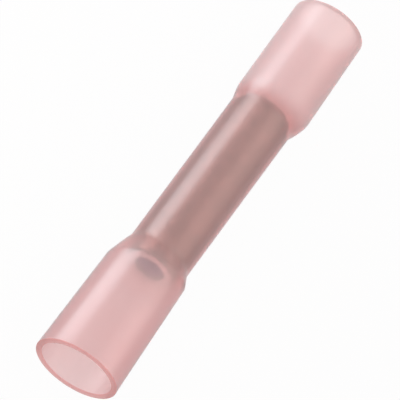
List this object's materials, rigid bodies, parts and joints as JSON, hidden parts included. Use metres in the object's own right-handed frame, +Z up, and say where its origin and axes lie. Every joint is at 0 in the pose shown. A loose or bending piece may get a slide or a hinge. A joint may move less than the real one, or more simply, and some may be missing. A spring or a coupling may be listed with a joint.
{
  "type": "butt splice connector",
  "caption": "Heat-shrink butt splice: a translucent sleeve with open oval mouths, necked down onto a tinned metal crimp barrel.",
  "frame": {"origin": "middle of the overall length, under the barrel's axis, on the surface that the splice lies on", "axes": "+X along the splice from the near mouth to the far mouth, +Z up from the surface that it lies on, +Y to the left seen from the near mouth"},
  "size_m": [0.0334, 0.0063, 0.0055],
  "materials": {
    "tinned_copper": "tin-plated copper tube, satin",
    "pink_polyolefin": "translucent pink heat-shrink tube, satin gloss"
  },
  "bodies": {
    "root": {"crimp_barrel": "tinned_copper", "shrink_sleeve": "pink_polyolefin"}
  },
  "joints": []
}
